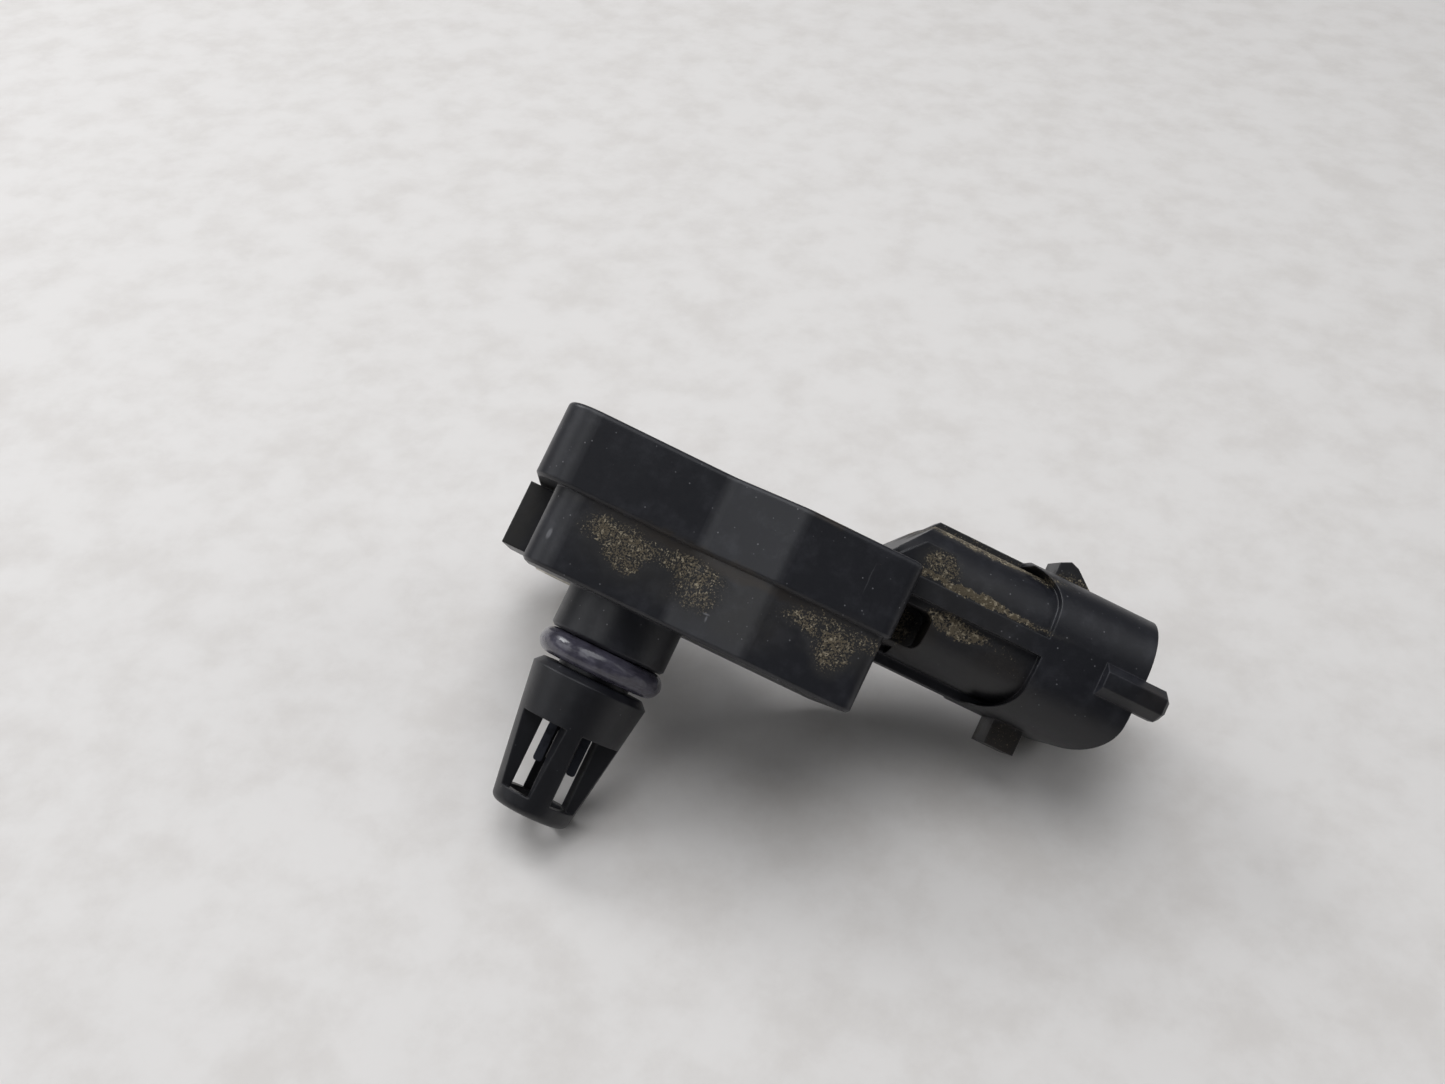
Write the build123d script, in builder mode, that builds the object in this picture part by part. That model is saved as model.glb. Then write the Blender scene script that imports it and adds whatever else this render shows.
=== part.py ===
from build123d import *
from math import acos, atan2, degrees
import os

os.makedirs("parts", exist_ok=True)

# Intake manifold pressure and temperature sensor, in millimetres.
# Origin on the spigot's axis at the mounting face, +Z up through the body, spigot pointing down,
# +X towards the plug connector. The fixing ear stands out on the +Y side.

# Body box
body_height = 15.2
upper_height = 7.6  # the upper half of the body, a little wider than the lower half
left_reach = 13.3  # spigot axis to the rounded left end
right_reach = 22.5  # spigot axis to the face that carries the connector
half_width_left = 9.8
half_width_right = 13.0
widen_start = 3.4  # where the long sides start to splay outwards
widen_end = 10.6
end_corner = 3.5
splay_corner = 3.0
face_corner = 1.2
lower_inset = 0.5
lower_end_inset = 2.3
top_edge_round = 0.5
step_edge_chamfer = 0.3
bottom_edge_chamfer = 0.3

# Inside of the body
floor_thickness = 2.6
cavity_wall = 2.3
rim_width = 1.3
rim_end_width = 4.6  # at the connector's end, where the neck is rooted on the top face
ledge_width = 1.5
cover_thickness = 0.9
cover_sink = 0.3
glue_groove = 0.7
glue_sink = 0.15
fit_gap = 0.05  # between curved faces of pieces that are pressed, bonded or seated together

# Fixing ear and its steel bush for an M6 screw
ear_radius = 8.0
bush_x = -5.75
bush_y = 19.0
ear_root_right = 6.0
ear_near_face = 1.0
ear_face_gap = 0.75  # the ear stands back from the mounting face, the bush carries to it
ear_step_gap = 0.3  # between the ear's upper face and the step of the body
bush_bore = 6.5
bush_outer = 9.6
bush_proud = 0.2
bush_chamfer = 0.3

# Spigot
collar_radius = 5.95
collar_length = 4.3
collar_chamfer = 0.3
ring_section = 2.62
ring_outer = 12.74
groove_length = 3.1
groove_clearance = 0.05
rim_round = 0.7
cone_top_radius = 5.96
cone_tip_radius = 3.9
spigot_length = 21.7
tip_round = 0.8
cage_bore_radius = 3.4
cage_floor = 1.75
window_length = 7.35
window_lintel = 0.8  # of the cage's bore above the windows
front_rib_inner = 2.3
front_rib_outer = 1.3
side_rib_width = 3.6
cage_turn = 6.0  # degrees that the ribs stand turned about the spigot's axis
tip_bore_step = 0.5  # between the cage's bore and the smaller hole through its tip
port_radius = 1.0
port_y = 1.8

# Temperature element inside the cage
leg_pitch = 3.5
leg_width = 0.9
leg_thickness = 0.5
leg_tip_height = 3.25  # above the cage's floor
leg_x = 0.25
leg_y = -1.0
leg_stub = 0.35
bead_radius = 1.1
bead_length = 3.5
bead_height = 3.55  # above the cage's floor
bead_chamfer = 0.4
wire_radius = 0.14
wire_spread = 0.64
wire_rise = 0.55

# Connector, from the body's face that carries it
connector_axis_drop = 1.77  # below the body's top face
connector_width = 20.0
connector_height = 15.05
connector_corner = 6.0
neck_root = 3.7  # how far back on the top face the neck is rooted
neck_length = 13.9
shroud_length = 10.0
shroud_wall = 1.3
mouth_lower_round = 4.2
socket_depth = 12.9
neck_relief = 0.95  # how far the neck is cut in between its ribs
rib_above_axis = 1.02
rib_below_axis = 0.83
relief_corner = 3.2
relief_roof_drop = 0.45  # under the shroud's top, where the rounds end
relief_floor_rise = 0.2
ridge_width = 2.4
ridge_proud = 0.1
ridge_slope_length = 5.3
keel_width = 3.2
root_block_inset = 0.9
root_block_above_axis = 4.32
root_block_back = 2.5
root_block_length = 6.6
root_block_back_slope = 2.3
root_block_front_slope = 1.3
root_pocket_length = 3.4
root_pocket_round = 0.9
root_pocket_rise = 0.5  # above the body's step
root_pocket_drop = 0.8  # under the side rib
root_pocket_depth = 5.0
notch_length = 1.9
notch_height = 0.9
notch_depth = 6.5

# Latch nose, key block and guide lugs on the connector
nose_back_height = 1.65
nose_height = 2.15
nose_peak = 1.0
nose_slope_start = 1.9
nose_length = 3.85
nose_toe = 0.3
nose_width = 4.4
key_start = 0.45  # from the shroud's back face
key_length = 3.1
key_drop = 2.55
key_width = 5.0
lug_length = 6.55
lug_overhang = 2.5
lug_proud = 1.5
lug_drop = 0.23  # of its middle below the connector's axis
lug_root_height = 3.15
lug_face_height = 1.55
lug_sink = 1.2
lug_bevel = 1.3
lug_end_chamfer = 0.4

# Terminals
terminal_count = 4
terminal_pitch = 3.9
blade_width = 1.5
blade_thickness = 0.64
blade_setback = 4.8  # from the connector's mouth to the tips of the blades
blade_tip_chamfer = 0.2
terminal_setback = 1.8  # from the cavity's end wall to the part that turns down
bend_inner = 0.8
tail_width = 0.8
tail_below_board = 0.5
tail_shoulder = 0.8
tail_gap = 0.1

# Board and what stands on it
board_underside = 5.4
board_thickness = 1.0
board_side_gap = 0.4
board_end_gap = 0.5
board_corner = 1.0
post_radius = 1.3
stake_radius = 0.6
stake_gap = 0.1
stake_proud = 0.6
stake_left_gap = 2.3  # from the cavity's end walls to the stakes
stake_right_gap = 7.1
stake_y = 5.3
tower_radius = 2.0
seal_thickness = 0.4
frame_length = 5.6
frame_width = 4.8
frame_wall = 0.7
frame_height = 2.4
gel_sink = 0.3
pedestal_side = 2.0
pedestal_height = 1.1
pedestal_hole = 0.35
logic_lead_count = 4  # on each side
chip_height = 0.4
chip_pocket_side = 0.9
chip_pocket_depth = 0.3
logic_length = 5.0
logic_width = 4.0
logic_height = 1.4
logic_lead_pitch = 1.2
logic_lead_width = 0.4
logic_lead_reach = 0.9
logic_lead_height = 0.5
capacitor_count = 4
capacitor_pitch = 2.6
capacitor_length = 2.0
capacitor_width = 1.25
capacitor_height = 0.85
capacitor_cap = 0.35
capacitor_rim = 0.04

# Worked out from the sizes above
step_height = body_height - upper_height
ledge_height = body_height - cover_sink - cover_thickness
cavity_inset = lower_inset + cavity_wall
cavity_end_inset = lower_end_inset + cavity_wall
cavity_left = -left_reach + cavity_end_inset
recess_right = right_reach - rim_end_width
cavity_right = recess_right - ledge_width
cavity_half_width = half_width_left - cavity_inset
ear_top = step_height - ear_step_gap
bush_length = ear_top + bush_proud
groove_bottom = collar_length + groove_length
ring_radius = ring_section / 2
ring_centre_radius = ring_outer / 2 - ring_radius
groove_radius = ring_centre_radius - ring_radius - groove_clearance
cone_start = groove_bottom + rim_round
window_bottom = spigot_length - cage_floor
window_top = window_bottom - window_length
bore_top = window_top - window_lintel
leg_tip = window_bottom - leg_tip_height
bead_bottom = window_bottom - bead_height
bead_top = bead_bottom - bead_length
leg_inner = leg_pitch / 2 - leg_width / 2
leg_places = [(leg_x - leg_pitch / 2, leg_y), (leg_x + leg_pitch / 2, leg_y)]
board_top = board_underside + board_thickness
tower_top = board_underside - seal_thickness
turn_x = cavity_right - terminal_setback
half_blade = blade_thickness / 2
stake_left_x = cavity_left + stake_left_gap
stake_right_x = cavity_right - stake_right_gap
board_free = turn_x - half_blade - frame_length / 2 - logic_length - capacitor_width
logic_x = frame_length / 2 + board_free / 3 + logic_length / 2
capacitor_x = turn_x - half_blade - board_free / 3 - capacitor_width / 2
connector_axis = body_height - connector_axis_drop
connector_top = connector_axis + connector_height / 2
connector_bottom = connector_axis - connector_height / 2
neck_start = right_reach - neck_root
shroud_start = right_reach + neck_length
mouth_reach = shroud_start + shroud_length
socket_floor = mouth_reach - socket_depth
blade_tip = mouth_reach - blade_setback
side_rib_top = connector_axis + rib_above_axis
side_rib_bottom = connector_axis - rib_below_axis
relief_round_start = shroud_start - relief_corner - fit_gap
ridge_top = connector_top + ridge_proud
ridge_shoulder = neck_start + ridge_slope_length
root_block_start = right_reach - root_block_back
root_block_end = root_block_start + root_block_length
root_block_top = connector_axis + root_block_above_axis
root_pocket_bottom = step_height + root_pocket_rise
root_pocket_top = side_rib_bottom - root_pocket_drop
lug_axis = connector_axis - lug_drop
reach_all = right_reach + neck_length + shroud_length  # passes through the whole part


def body_plan(height, side_inset, left_inset, right):
    """Outline of the body seen from above, drawn at a height and set in from the outer wall."""
    left = -left_reach + left_inset
    near_left = half_width_left - side_inset
    near_right = half_width_right - side_inset
    with BuildSketch(Plane.XY.offset(height)) as plan:
        with BuildLine():
            Polyline(
                (left, 0),
                (left, -near_left),
                (widen_start, -near_left),
                (widen_end, -near_right),
                (right, -near_right),
                (right, 0),
            )
            mirror(about=Plane.XZ)
        make_face()
        for x, radius in (
            (left, end_corner - min(side_inset, end_corner / 2)),
            (widen_start, splay_corner),
            (widen_end, splay_corner),
            (right, face_corner),
        ):
            corners = plan.vertices().filter_by_position(Axis.X, x - 0.01, x + 0.01)
            fillet(corners.filter_by(lambda v: abs(v.Y) > near_left / 2), radius)
    return plan.sketch


def connector_plan(x, inset):
    """Rounded oblong section of the connector at a distance x along it, set in by an amount."""
    with BuildSketch(Plane.YZ.offset(x)) as section:
        with Locations((0, connector_axis)):
            RectangleRounded(
                connector_width - 2 * inset,
                connector_height - 2 * inset,
                connector_corner - inset,
            )
    return section.sketch


# What is cut from the neck between its top ridge, side ribs and bottom keel. The ends next to
# the shroud are rounded, and the oblong barrel of the neck stays.
with BuildPart() as relief:
    for rib_face, roof, outside in (
        (side_rib_top, connector_top - relief_roof_drop, connector_top + nose_height),
        (side_rib_bottom, connector_bottom + relief_floor_rise, connector_bottom - key_drop),
    ):
        with BuildSketch(Plane.XZ) as relief_side:
            with BuildLine():
                Polyline(
                    (root_block_start, rib_face),
                    (shroud_start, rib_face),
                    (shroud_start, roof),
                    (relief_round_start, roof),
                    (relief_round_start, outside),
                    (root_block_start, outside),
                    close=True,
                )
            make_face()
            round_corner = relief_side.vertices().sort_by_distance((shroud_start, roof))[0]
            fillet(round_corner, relief_corner)
        extrude(amount=reach_all / 2, both=True)
    extrude(connector_plan(root_block_start, neck_relief), amount=reach_all, mode=Mode.SUBTRACT)
    with BuildSketch(Plane.XY.offset(connector_axis)):
        with Locations((mouth_reach / 2, 0)):
            Rectangle(mouth_reach, ridge_width)
    extrude(amount=connector_height, mode=Mode.SUBTRACT)
    with BuildSketch(Plane.XY.offset(connector_axis)):
        with Locations((mouth_reach / 2, 0)):
            Rectangle(mouth_reach, keel_width)
    extrude(amount=-connector_height, mode=Mode.SUBTRACT)

# One corner window of the cage, seen along the spigot: the front rib tapers outwards
with BuildPart() as windows:
    with BuildSketch(Plane((0, 0, -window_bottom)).rotated((0, 0, cage_turn))):
        with BuildLine():
            Polyline(
                (front_rib_inner / 2, -side_rib_width / 2),
                (front_rib_inner / 2, -cage_bore_radius),
                (front_rib_outer / 2, -collar_radius),
                (front_rib_outer / 2, -2 * collar_radius),
                (2 * collar_radius, -2 * collar_radius),
                (2 * collar_radius, -side_rib_width / 2),
                close=True,
            )
        make_face()
        mirror(about=Plane.XZ)
        mirror(about=Plane.YZ)
    extrude(amount=window_bottom - window_top)

# Neck and shroud of the connector. Above the body's top face the neck's root slopes up, with a
# bevelled block over it.
with BuildPart() as connector:
    extrude(connector_plan(neck_start, 0), amount=mouth_reach - neck_start)
    with BuildSketch(Plane.XZ):
        with Locations((neck_start, connector_axis)):
            Rectangle(
                shroud_start - neck_start,
                ridge_top - connector_axis,
                align=(Align.MIN, Align.MIN),
            )
    extrude(amount=ridge_width / 2, both=True)
    add(relief.part, mode=Mode.SUBTRACT)
    with BuildSketch(Plane.XZ):
        with BuildLine():
            Polyline(
                (neck_start, body_height - top_edge_round),
                (ridge_shoulder, ridge_top),
                (ridge_shoulder, ridge_top + nose_height),
                (neck_start - ledge_width, ridge_top + nose_height),
                (neck_start - ledge_width, body_height - top_edge_round),
                close=True,
            )
        make_face()
    extrude(amount=reach_all / 2, both=True, mode=Mode.SUBTRACT)
    with BuildSketch(Plane.XZ):
        with BuildLine():
            Polyline(
                (root_block_start, side_rib_top),
                (root_block_start, body_height),
                (root_block_start + root_block_back_slope, root_block_top),
                (root_block_end - root_block_front_slope, root_block_top),
                (root_block_end, body_height),
                (root_block_end, side_rib_top),
                close=True,
            )
        make_face()
    extrude(amount=connector_width / 2 - root_block_inset, both=True)

# Guide lugs along both sides of the shroud, past its mouth
with BuildPart() as lugs:
    lug_root = connector_width / 2 - lug_sink
    lug_face = connector_width / 2 + lug_proud
    with BuildSketch(Plane.YZ.offset(mouth_reach + lug_overhang - lug_length)):
        with BuildLine():
            Polyline(
                (lug_root, lug_axis - lug_root_height / 2),
                (lug_face - lug_bevel, lug_axis - lug_root_height / 2),
                (lug_face, lug_axis - lug_face_height / 2),
                (lug_face, lug_axis + lug_face_height / 2),
                (lug_face - lug_bevel, lug_axis + lug_root_height / 2),
                (lug_root, lug_axis + lug_root_height / 2),
                close=True,
            )
        make_face()
    extrude(amount=lug_length)
    chamfer(lugs.faces().sort_by(Axis.X)[-1].edges(), lug_end_chamfer)
    mirror(about=Plane.XZ)

# Housing: body, ear, spigot with its cage, neck and connector shroud in one moulding
with BuildPart() as housing:
    extrude(body_plan(step_height, 0, 0, right_reach), amount=body_height - step_height)
    fillet(housing.edges().group_by(Axis.Z)[-1], top_edge_round)
    chamfer(housing.edges().group_by(Axis.Z)[0], step_edge_chamfer)
    extrude(
        body_plan(0, lower_inset, lower_end_inset, right_reach - lower_inset),
        amount=step_height + step_edge_chamfer,
    )
    chamfer(housing.edges().group_by(Axis.Z)[0], bottom_edge_chamfer)

    # The ear runs straight up the left side, round the bush and down to the splayed wall
    root_reach = Vector(ear_root_right - bush_x, half_width_left - bush_y)
    root_tangent = atan2(root_reach.Y, root_reach.X) + acos(ear_radius / root_reach.length)
    with BuildSketch(Plane.XY.offset(ear_face_gap)):
        with BuildLine():
            nose = CenterArc(
                (bush_x, bush_y), ear_radius, degrees(root_tangent), 180 - degrees(root_tangent)
            )
            Polyline(
                nose @ 1,
                (bush_x - ear_radius, ear_near_face),
                (ear_root_right, ear_near_face),
                (ear_root_right, half_width_left),
                nose @ 0,
            )
        make_face()
    extrude(amount=ear_top - ear_face_gap)

    add(connector.part)

    # Deep pockets beside the neck's root and the narrow notches under the upper half
    for side in (-1, 1):
        with BuildSketch(
            Plane.XZ.offset(-side * (connector_width / 2 - root_pocket_depth))
        ) as pocket:
            with Locations((right_reach, root_pocket_bottom)):
                Rectangle(
                    root_pocket_length,
                    root_pocket_top - root_pocket_bottom,
                    align=(Align.MIN, Align.MIN),
                )
            fillet(pocket.vertices().group_by(Axis.X)[-1], root_pocket_round)
        extrude(amount=-side * connector_width, mode=Mode.SUBTRACT)
        with BuildSketch(Plane.XZ.offset(-side * (connector_width / 2 - notch_depth))):
            with Locations((right_reach - lower_inset, step_height - notch_height)):
                Rectangle(notch_length, notch_height, align=(Align.MIN, Align.MIN))
        extrude(amount=-side * connector_width, mode=Mode.SUBTRACT)

    # The mouth's lower edge is swept back in a large round
    sweep_x = mouth_reach - mouth_lower_round
    sweep_z = connector_bottom + mouth_lower_round
    with BuildSketch(Plane.XZ):
        with BuildLine():
            lower_lip = CenterArc((sweep_x, sweep_z), mouth_lower_round, -90, 90)
            Polyline(
                lower_lip @ 1,
                (mouth_reach + shroud_wall, sweep_z),
                (mouth_reach + shroud_wall, connector_bottom - shroud_wall),
                (sweep_x, connector_bottom - shroud_wall),
                lower_lip @ 0,
            )
        make_face()
    extrude(amount=reach_all, both=True, mode=Mode.SUBTRACT)
    add(lugs.part)

    # Latch nose: steep towards the body, a ramp towards the mouth
    with BuildSketch(Plane.XZ):
        with BuildLine():
            Polyline(
                (shroud_start, connector_top - shroud_wall / 2),
                (shroud_start, connector_top + nose_back_height),
                (shroud_start + nose_peak, connector_top + nose_height),
                (shroud_start + nose_slope_start, connector_top + nose_height - nose_toe),
                (shroud_start + nose_length, connector_top + nose_toe),
                (shroud_start + nose_length, connector_top - shroud_wall / 2),
                close=True,
            )
        make_face()
    extrude(amount=nose_width / 2, both=True)

    # Key block under the shroud
    with BuildSketch(Plane.XZ):
        with Locations((shroud_start + key_start, connector_bottom - key_drop)):
            Rectangle(key_length, key_drop + shroud_wall / 2, align=(Align.MIN, Align.MIN))
    extrude(amount=key_width / 2, both=True)

    extrude(connector_plan(socket_floor, shroud_wall), amount=socket_depth, mode=Mode.SUBTRACT)

    # Spigot and cage, turned about Z
    with BuildSketch(Plane.XZ):
        with BuildLine():
            Polyline(
                (0, floor_thickness / 2),
                (collar_radius, floor_thickness / 2),
                (collar_radius, -collar_length + collar_chamfer),
                (collar_radius - collar_chamfer, -collar_length),
                (groove_radius, -collar_length),
                (groove_radius, -groove_bottom),
                (cone_top_radius - rim_round, -groove_bottom),
                (cone_top_radius, -cone_start),
                (cone_tip_radius, -spigot_length),
                (0, -spigot_length),
                close=True,
            )
        make_face()
    revolve(axis=Axis.Z)
    tip_edge = housing.edges().filter_by(GeomType.CIRCLE).group_by(Axis.Z)[0]
    fillet(tip_edge, tip_round)
    with BuildSketch(Plane.XY.offset(-window_bottom)):
        Circle(cage_bore_radius)
    extrude(amount=window_bottom - bore_top, mode=Mode.SUBTRACT)
    with BuildSketch(Plane.XY.offset(-spigot_length)):
        Circle(cage_bore_radius - tip_bore_step)
    extrude(amount=cage_floor, mode=Mode.SUBTRACT)
    add(windows.part, mode=Mode.SUBTRACT)

    # Cavity with a ledge for the cover, and what stands up from its floor
    extrude(
        body_plan(floor_thickness, cavity_inset, cavity_end_inset, cavity_right),
        amount=body_height,
        mode=Mode.SUBTRACT,
    )
    extrude(
        body_plan(ledge_height, rim_width, rim_width, recess_right),
        amount=body_height,
        mode=Mode.SUBTRACT,
    )
    with BuildSketch(Plane.XY.offset(floor_thickness)):
        with Locations((0, port_y)):
            Circle(tower_radius)
    extrude(amount=tower_top - floor_thickness)
    stake_places = [(x, y) for x in (stake_left_x, stake_right_x) for y in (-stake_y, stake_y)]
    with BuildSketch(Plane.XY.offset(floor_thickness)):
        with Locations(*stake_places):
            Circle(post_radius)
    extrude(amount=board_underside - floor_thickness)
    with BuildSketch(Plane.XY.offset(board_underside)):
        with Locations(*stake_places):
            Circle(stake_radius)
    extrude(amount=board_thickness + stake_proud)

    # Pressure port, leg tunnels, terminal tunnels and the bush seat
    with BuildSketch(Plane.XY.offset(-bore_top)):
        with Locations((0, port_y)):
            Circle(port_radius)
        with Locations(*leg_places):
            Rectangle(leg_width, leg_thickness)
    extrude(amount=bore_top + tower_top, mode=Mode.SUBTRACT)
    with BuildSketch(Plane.YZ.offset(cavity_right)):
        with Locations((0, connector_axis)):
            with GridLocations(terminal_pitch, 1, terminal_count, 1):
                Rectangle(blade_width, blade_thickness)
    extrude(amount=socket_floor - cavity_right, mode=Mode.SUBTRACT)
    with BuildSketch(Plane.XY):
        with Locations((bush_x, bush_y)):
            Circle(bush_outer / 2 + fit_gap)
    extrude(amount=body_height, mode=Mode.SUBTRACT)

# Cover plate in its recess and the bead of glue around it
with BuildPart() as cover:
    cover_inset = rim_width + glue_groove
    cover_right = recess_right - glue_groove
    extrude(
        body_plan(ledge_height, cover_inset, cover_inset, cover_right), amount=cover_thickness
    )

with BuildPart() as cover_glue:
    outer_inset = rim_width + fit_gap
    inner_inset = rim_width + glue_groove - fit_gap
    outer_right = recess_right - fit_gap
    inner_right = recess_right - glue_groove + fit_gap
    glue_height = cover_thickness - glue_sink
    extrude(body_plan(ledge_height, outer_inset, outer_inset, outer_right), amount=glue_height)
    extrude(
        body_plan(ledge_height, inner_inset, inner_inset, inner_right),
        amount=glue_height,
        mode=Mode.SUBTRACT,
    )

with BuildPart() as fixing_bush:
    with BuildSketch(Plane.XY):
        with Locations((bush_x, bush_y)):
            Circle(bush_outer / 2)
            Circle(bush_bore / 2, mode=Mode.SUBTRACT)
    extrude(amount=bush_length)
    chamfer(fixing_bush.edges().filter_by(GeomType.CIRCLE), bush_chamfer)

with BuildPart() as o_ring:
    with BuildSketch(Plane.XZ):
        with Locations((ring_centre_radius, -collar_length - ring_radius - groove_clearance)):
            Circle(ring_radius)
    revolve(axis=Axis.Z)

# Temperature element: a coated bead on two thin wires, welded to two flat legs
with BuildPart() as thermistor_bead:
    with BuildSketch(Plane.XY.offset(-bead_bottom)):
        with Locations((leg_x, leg_y)):
            Circle(bead_radius)
    extrude(amount=bead_length)
    chamfer(thermistor_bead.edges().filter_by(GeomType.CIRCLE), bead_chamfer)

pieces = {
    "housing": housing,
    "cover": cover,
    "cover_glue": cover_glue,
    "fixing_bush": fixing_bush,
    "o_ring": o_ring,
    "thermistor_bead": thermistor_bead,
}

for number, side in ((1, -1), (2, 1)):
    with BuildPart() as thermistor_wire:
        with BuildLine(Plane.XZ.offset(-leg_y)) as wire_path:
            Line(
                (leg_x + side * wire_spread / 2, -bead_top + wire_radius),
                (leg_x + side * (leg_inner - wire_radius), -bead_top + wire_rise),
            )
        with BuildSketch(Plane(origin=wire_path.line @ 0, z_dir=wire_path.line % 0)):
            Circle(wire_radius)
        sweep()
    pieces[f"thermistor_wire_{number}"] = thermistor_wire

    with BuildPart() as sensor_leg:
        with BuildSketch(Plane.XZ.offset(-leg_y)) as leg_side:
            with Locations((leg_x + side * leg_pitch / 2, -leg_tip)):
                Rectangle(
                    leg_width,
                    leg_tip + board_top + leg_stub,
                    align=(Align.CENTER, Align.MIN),
                )
            fillet(leg_side.vertices().group_by(Axis.Y)[0], leg_width / 3)
        extrude(amount=leg_thickness / 2, both=True)
    pieces[f"sensor_leg_{number}"] = sensor_leg

# Terminals: flat blades in the socket, carried through the neck and turned down to the board
for number in range(1, terminal_count + 1):
    terminal_y = (number - (terminal_count + 1) / 2) * terminal_pitch
    shoulder_z = board_top + tail_shoulder
    with BuildPart() as terminal:
        with BuildSketch(Plane.XZ.offset(-terminal_y)) as terminal_side:
            with Locations((turn_x - half_blade, connector_axis)):
                Rectangle(
                    blade_tip - turn_x + half_blade,
                    blade_thickness,
                    align=(Align.MIN, Align.CENTER),
                )
            with Locations((turn_x, board_underside - tail_below_board)):
                Rectangle(
                    blade_thickness,
                    connector_axis + half_blade - board_underside + tail_below_board,
                    align=(Align.CENTER, Align.MIN),
                )
            outer_corner = terminal_side.vertices().sort_by_distance(
                (turn_x - half_blade, connector_axis + half_blade)
            )[0]
            fillet(outer_corner, bend_inner + blade_thickness)
            inner_corner = terminal_side.vertices().sort_by_distance(
                (turn_x + half_blade, connector_axis - half_blade)
            )[0]
            fillet(inner_corner, bend_inner)
        extrude(amount=blade_width / 2, both=True)
        chamfer(terminal.faces().sort_by(Axis.X)[-1].edges(), blade_tip_chamfer)
        for side in (-1, 1):
            with BuildSketch(Plane.XY.offset(shoulder_z)):
                with Locations((turn_x, terminal_y + side * (tail_width + blade_width) / 2)):
                    Rectangle(2 * blade_width, blade_width)
            extrude(amount=-body_height, mode=Mode.SUBTRACT)
    pieces[f"terminal_{number}"] = terminal

# Board with its holes
with BuildPart() as circuit_board:
    board_left = cavity_left + board_side_gap
    board_right = cavity_right - board_end_gap
    with BuildSketch(Plane.XY.offset(board_underside)):
        with Locations(((board_left + board_right) / 2, 0)):
            RectangleRounded(
                board_right - board_left,
                2 * (cavity_half_width - board_side_gap),
                board_corner,
            )
        with Locations((0, port_y)):
            Circle(port_radius, mode=Mode.SUBTRACT)
        with Locations(*stake_places):
            Circle(stake_radius + stake_gap, mode=Mode.SUBTRACT)
        with Locations(*leg_places):
            Rectangle(leg_width + 2 * tail_gap, leg_thickness + 2 * tail_gap, mode=Mode.SUBTRACT)
        with Locations((turn_x, 0)):
            with GridLocations(1, terminal_pitch, 1, terminal_count):
                Rectangle(
                    blade_thickness + 2 * tail_gap,
                    tail_width + 2 * tail_gap,
                    mode=Mode.SUBTRACT,
                )
    extrude(amount=board_thickness)
pieces["circuit_board"] = circuit_board

# Measuring cell: seal, frame, glass pedestal, silicon chip and protective gel
with BuildPart() as port_seal:
    with BuildSketch(Plane.XY.offset(tower_top)):
        with Locations((0, port_y)):
            Circle(tower_radius)
            Circle(port_radius, mode=Mode.SUBTRACT)
    extrude(amount=seal_thickness)
pieces["port_seal"] = port_seal

cell_plane = Plane((0, port_y, board_top))
with BuildPart() as cell_frame:
    with BuildSketch(cell_plane):
        Rectangle(frame_length, frame_width)
        Rectangle(frame_length - 2 * frame_wall, frame_width - 2 * frame_wall, mode=Mode.SUBTRACT)
    extrude(amount=frame_height)
pieces["cell_frame"] = cell_frame

with BuildPart() as glass_pedestal:
    with BuildSketch(cell_plane):
        Rectangle(pedestal_side, pedestal_side)
        Circle(pedestal_hole, mode=Mode.SUBTRACT)
    extrude(amount=pedestal_height)
pieces["glass_pedestal"] = glass_pedestal

chip_plane = cell_plane.offset(pedestal_height)
with BuildPart() as pressure_chip:
    with BuildSketch(chip_plane):
        Rectangle(pedestal_side, pedestal_side)
    extrude(amount=chip_height)
    with BuildSketch(chip_plane):
        Rectangle(chip_pocket_side, chip_pocket_side)
    extrude(amount=chip_pocket_depth, taper=20, mode=Mode.SUBTRACT)
pieces["pressure_chip"] = pressure_chip

with BuildPart() as protective_gel:
    with BuildSketch(cell_plane):
        Rectangle(frame_length - 2 * frame_wall, frame_width - 2 * frame_wall)
    extrude(amount=frame_height - gel_sink)
    with BuildSketch(cell_plane):
        Rectangle(pedestal_side, pedestal_side)
    extrude(amount=pedestal_height + chip_height, mode=Mode.SUBTRACT)
pieces["protective_gel"] = protective_gel

# Logic chip with its leads, and a row of capacitors
with BuildPart() as logic_chip:
    with BuildSketch(Plane((logic_x, 0, board_top + logic_lead_height / 2))):
        Rectangle(logic_length, logic_width)
    extrude(amount=logic_height)
    with BuildSketch(Plane((logic_x, 0, board_top))):
        with GridLocations(
            logic_lead_pitch, logic_width + logic_lead_reach, logic_lead_count, 2
        ):
            Rectangle(logic_lead_width, logic_lead_reach)
    extrude(amount=logic_lead_height)
pieces["logic_chip"] = logic_chip

for number in range(1, capacitor_count + 1):
    capacitor_y = (number - (capacitor_count + 1) / 2) * capacitor_pitch
    with BuildPart() as capacitor:
        with BuildSketch(Plane((capacitor_x, capacitor_y, board_top))):
            Rectangle(capacitor_width - 2 * capacitor_rim, capacitor_length)
        extrude(amount=capacitor_height - capacitor_rim)
        with BuildSketch(Plane((capacitor_x, capacitor_y, board_top))):
            with GridLocations(1, capacitor_length - capacitor_cap, 1, 2):
                Rectangle(capacitor_width, capacitor_cap)
        extrude(amount=capacitor_height)
    pieces[f"capacitor_{number}"] = capacitor

for name, piece in pieces.items():
    piece.part.label = name
    export_step(piece.part, f"parts/{name}.step")
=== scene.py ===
import math

import bpy
import numpy as np
from mathutils import Matrix, Vector


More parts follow.
